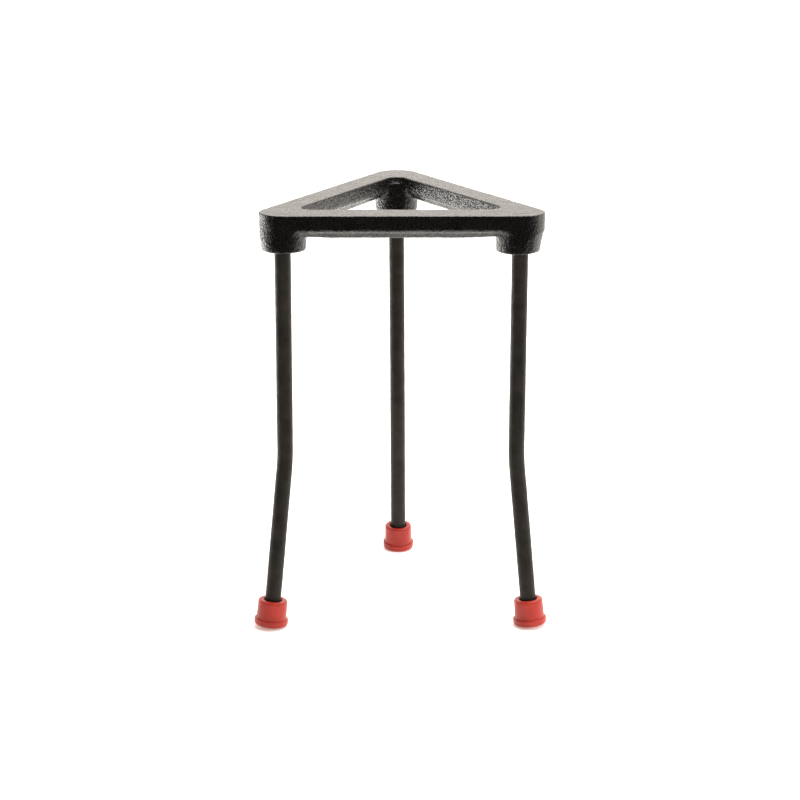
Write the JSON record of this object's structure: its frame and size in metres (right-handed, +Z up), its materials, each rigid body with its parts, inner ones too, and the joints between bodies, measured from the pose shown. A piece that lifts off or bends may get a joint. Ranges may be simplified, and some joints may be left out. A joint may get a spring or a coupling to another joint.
{
  "type": "lab tripod stand",
  "caption": "Laboratory tripod stand: a cast triangular top on bent rod legs with red push-on feet, holding a gauze or a vessel above a burner.",
  "frame": {"origin": "on the bench, on the vertical axis that the legs stand around at equal distances", "axes": "+Z up; +Y towards the rear leg; +X to the right when seen from the front bar's side"},
  "size_m": [0.1486, 0.1309, 0.2136],
  "materials": {
    "cast_top": "black enamel over a rough sand casting, satin",
    "leg_rod": "black enamel on drawn steel rod, satin",
    "red_foot": "moulded red plastic cap, slightly glossy"
  },
  "bodies": {
    "root": {"triangular_top": "cast_top", "left_leg": "leg_rod", "right_leg": "leg_rod", "rear_leg": "leg_rod", "left_foot": "red_foot", "right_foot": "red_foot", "rear_foot": "red_foot"}
  },
  "joints": []
}
